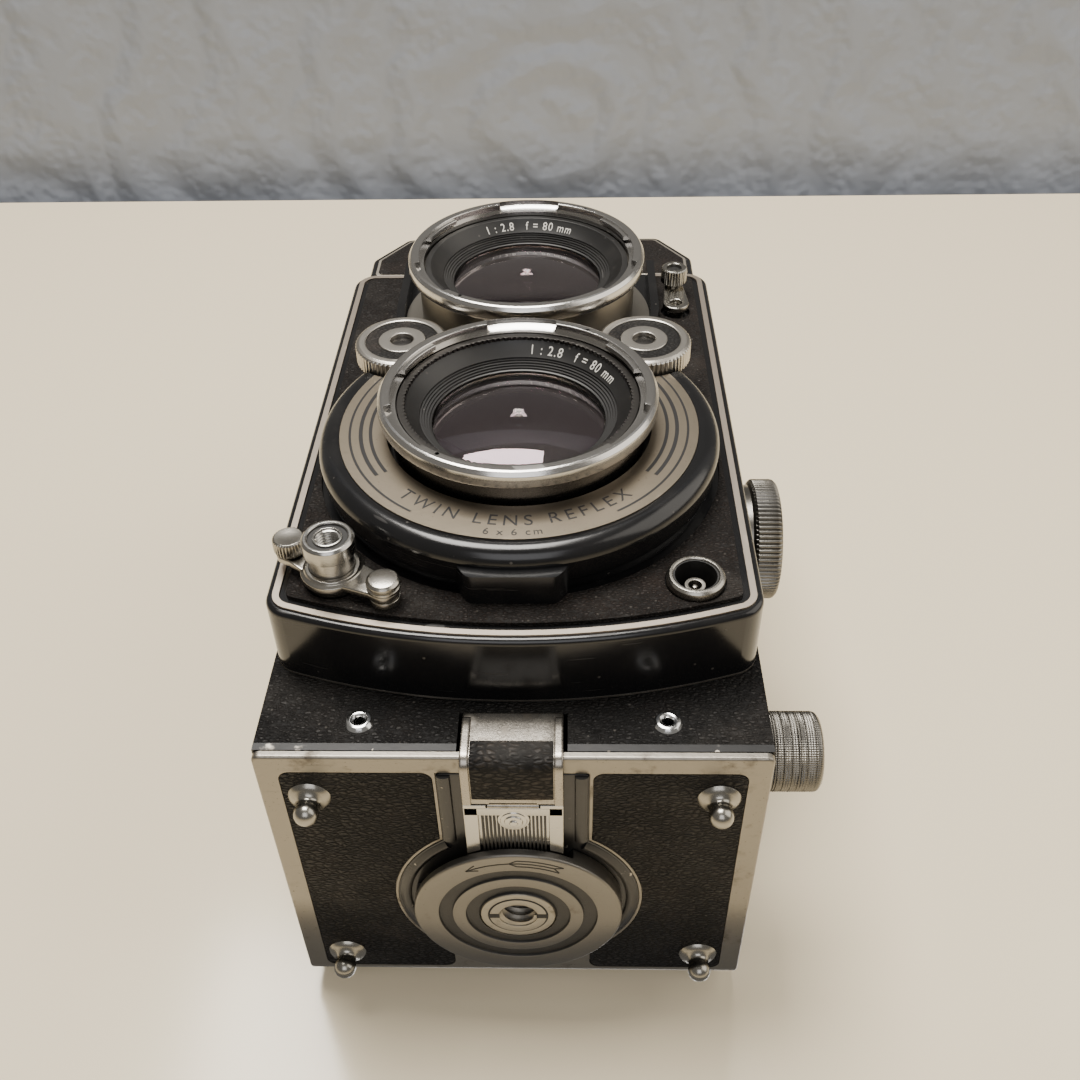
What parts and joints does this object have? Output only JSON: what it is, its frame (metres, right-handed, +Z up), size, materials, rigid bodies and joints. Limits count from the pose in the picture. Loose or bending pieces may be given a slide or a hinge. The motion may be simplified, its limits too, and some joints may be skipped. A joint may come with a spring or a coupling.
{
  "type": "twin lens reflex camera",
  "caption": "Roll-film camera with a taking and a viewing lens on a sliding front panel, a folding waist-level hood, a film crank and an opening back.",
  "frame": {"origin": "mouth of the tripod socket, on the camera's centre plane", "axes": "+X towards the focusing knob, -Y out of the lenses, +Z up through the viewing hood"},
  "size_m": [0.0937, 0.0909, 0.1514],
  "materials": {
    "black_leather": "pebbled black leather, semi-matt",
    "brown_leather": "fine-grained brown-black leather",
    "black_enamel": "gloss black enamel",
    "black_matt": "flat black lacquer",
    "bare_metal": "worn warm grey bare metal",
    "grey_aluminium": "satin grey aluminium with black grooves",
    "chrome": "satin and bright chrome",
    "nickel": "brushed nickel",
    "steel": "machined steel",
    "brass": "machined brass",
    "face_plate": "satin silver plate with black arcs",
    "coated_glass": "coated optical glass",
    "screen_glass": "ground glass",
    "mirror": "front-silvered mirror",
    "cone_black": "satin black anodised cone",
    "wheel_metal": "knurled nickel with a leather ring"
  },
  "bodies": {
    "root": {"body_casting": "black_enamel", "body_leather": "black_leather", "strap_lugs": "chrome", "flash_bracket_eyelets": "chrome", "door_hinge_pin": "steel", "nameplate_housing": "black_enamel", "standard_sleeve": "black_matt", "reflex_mirror": "mirror", "mirror_bracket": "black_matt", "focusing_screen": "screen_glass", "film_gate": "black_matt", "hood_base": "black_enamel"},
    "lens_standard": {"standard_shell": "black_enamel", "panel_trim": "chrome", "panel_leather": "brown_leather", "guide_pillars": "steel", "shutter_cowl": "black_enamel", "shutter_face_plate": "face_plate", "shutter_housing": "black_matt", "shutter_blades": "steel", "taking_bayonet_ring": "chrome", "taking_retaining_ring": "nickel", "taking_name_ring": "cone_black", "taking_lens_glasses": "coated_glass", "taking_lens_tube": "chrome", "viewing_bayonet_ring": "chrome", "viewing_name_ring": "cone_black", "viewing_lens_glasses": "coated_glass", "viewing_lens_tube": "chrome", "flash_sync_socket": "chrome", "release_bracket": "nickel", "focusing_rack": "brass"},
    "release_button": {"release_button": "chrome"},
    "self_timer_lever": {"self_timer_lever": "chrome"},
    "aperture_wheel": {"aperture_wheel": "wheel_metal"},
    "shutter_speed_wheel": {"shutter_speed_wheel": "wheel_metal"},
    "focusing_drive": {"focusing_knob": "chrome", "focusing_shaft": "steel"},
    "film_crank": {"film_crank_hub": "chrome"},
    "film_crank_arm": {"film_crank_arm": "chrome"},
    "film_crank_handle": {"film_crank_handle": "chrome"},
    "take_up_spool": {"take_up_spool": "steel"},
    "upper_film_roller": {"upper_film_roller": "chrome"},
    "lower_film_roller": {"lower_film_roller": "chrome"},
    "lower_spool_knob": {"lower_spool_knob": "chrome"},
    "upper_spool_knob": {"upper_spool_knob": "chrome"},
    "back_door": {"back_door": "bare_metal", "back_door_leather": "black_leather", "door_centre_plate": "black_enamel", "feet": "nickel", "tripod_socket": "grey_aluminium", "pressure_plate": "black_matt"},
    "lock_ring": {"lock_ring": "grey_aluminium"},
    "latch_slide": {"latch_slide": "chrome"},
    "latch_hook": {"latch_hook": "nickel"},
    "hood_lid": {"hood_lid": "black_enamel"},
    "hood_left_wall": {"hood_left_wall": "black_matt"},
    "hood_right_wall": {"hood_right_wall": "black_matt"},
    "hood_front_flap": {"hood_front_flap": "black_matt"},
    "magnifier": {"magnifier": "nickel"}
  },
  "joints": [
    {"name": "lens_extension", "type": "slide", "parent": "root", "child": "lens_standard", "axis": [0, -1, 0], "range_m": [0, 0.007]},
    {"name": "focus_turn", "type": "hinge", "parent": "root", "child": "focusing_drive", "pos_m": [0, -0.02, 0.0703], "axis": [1, 0, 0], "range_deg": [0, 201]},
    {"name": "release_press", "type": "slide", "parent": "lens_standard", "child": "release_button", "axis": [0, 1, 0], "range_m": [0, 0.0025], "stiffness_N_per_m": 800, "springref_m": -0.0005},
    {"name": "timer_swing", "type": "hinge", "parent": "lens_standard", "child": "self_timer_lever", "pos_m": [0.0298, 0, 0.106], "axis": [0, 1, 0], "range_deg": [0, 75]},
    {"name": "aperture_turn", "type": "hinge", "parent": "lens_standard", "child": "aperture_wheel", "pos_m": [-0.0217, 0, 0.0782], "axis": [0, 1, 0], "range_deg": [-75, 75]},
    {"name": "speed_turn", "type": "hinge", "parent": "lens_standard", "child": "shutter_speed_wheel", "pos_m": [0.0217, 0, 0.0782], "axis": [0, 1, 0], "range_deg": [-75, 75]},
    {"name": "crank_turn", "type": "hinge", "parent": "root", "child": "film_crank", "pos_m": [0, -0.01, 0.08599], "axis": [1, 0, 0], "continuous": true},
    {"name": "crank_unfold", "type": "hinge", "parent": "film_crank", "child": "film_crank_arm", "pos_m": [-0.0428, -0.01, 0.08599], "axis": [0, -1, 0], "range_deg": [0, 180]},
    {"name": "crank_handle_spin", "type": "hinge", "parent": "film_crank_arm", "child": "film_crank_handle", "pos_m": [0, -0.01, 0.10999], "axis": [1, 0, 0], "continuous": true},
    {"name": "take_up_turn", "type": "hinge", "parent": "root", "child": "take_up_spool", "pos_m": [0, 0.0114, 0.0993], "axis": [1, 0, 0], "continuous": true},
    {"name": "upper_roller_turn", "type": "hinge", "parent": "root", "child": "upper_film_roller", "pos_m": [0, 0.0184, 0.0871], "axis": [1, 0, 0], "continuous": true},
    {"name": "lower_roller_turn", "type": "hinge", "parent": "root", "child": "lower_film_roller", "pos_m": [0, 0.0184, 0.0239], "axis": [1, 0, 0], "continuous": true},
    {"name": "lower_knob_pull", "type": "slide", "parent": "root", "child": "lower_spool_knob", "axis": [1, 0, 0], "range_m": [0, 0.007]},
    {"name": "upper_knob_pull", "type": "slide", "parent": "root", "child": "upper_spool_knob", "axis": [1, 0, 0], "range_m": [0, 0.007]},
    {"name": "back_door_open", "type": "hinge", "parent": "root", "child": "back_door", "pos_m": [0, 0.0244, 0.1288], "axis": [1, 0, 0], "range_deg": [0, 100]},
    {"name": "lock_ring_turn", "type": "hinge", "parent": "back_door", "child": "lock_ring", "pos_m": [0, 0, 0], "axis": [0, 0, 1], "range_deg": [0, 40]},
    {"name": "latch_slide_move", "type": "slide", "parent": "back_door", "child": "latch_slide", "axis": [0, -1, 0], "range_m": [0, 0.0026]},
    {"name": "latch_hook_swing", "type": "hinge", "parent": "latch_slide", "child": "latch_hook", "pos_m": [0, -0.0271, 0.00208], "axis": [1, 0, 0], "range_deg": [0, 90]},
    {"name": "hood_lid_open", "type": "hinge", "parent": "root", "child": "hood_lid", "pos_m": [0, 0.021, 0.1424], "axis": [-1, 0, 0], "range_deg": [0, 90]},
    {"name": "left_wall_rise", "type": "hinge", "parent": "root", "child": "hood_left_wall", "pos_m": [-0.0312, 0, 0.1424], "axis": [0, -1, 0], "range_deg": [0, 90.1]},
    {"name": "right_wall_rise", "type": "hinge", "parent": "root", "child": "hood_right_wall", "pos_m": [0.0312, 0, 0.1424], "axis": [0, 1, 0], "range_deg": [0, 90.1]},
    {"name": "front_flap_rise", "type": "hinge", "parent": "root", "child": "hood_front_flap", "pos_m": [0, -0.0316, 0.1413], "axis": [1, 0, 0], "range_deg": [0, 90.1]},
    {"name": "magnifier_level", "type": "hinge", "parent": "hood_lid", "child": "magnifier", "pos_m": [0, -0.009, 0.1476], "axis": [-1, 0, 0], "range_deg": [-90.1, 0]}
  ],
  "couplings": [
    {"joint": "focus_turn", "follows": "lens_extension", "rad_per_m": 500},
    {"joint": "take_up_turn", "follows": "crank_turn", "ratio": -1.5714},
    {"joint": "latch_slide_move", "follows": "lock_ring_turn", "m_per_rad": 0.003581},
    {"joint": "left_wall_rise", "follows": "hood_lid_open", "ratio": 1},
    {"joint": "right_wall_rise", "follows": "hood_lid_open", "ratio": 1},
    {"joint": "front_flap_rise", "follows": "hood_lid_open", "ratio": 1},
    {"joint": "magnifier_level", "follows": "hood_lid_open", "ratio": -1}
  ]
}
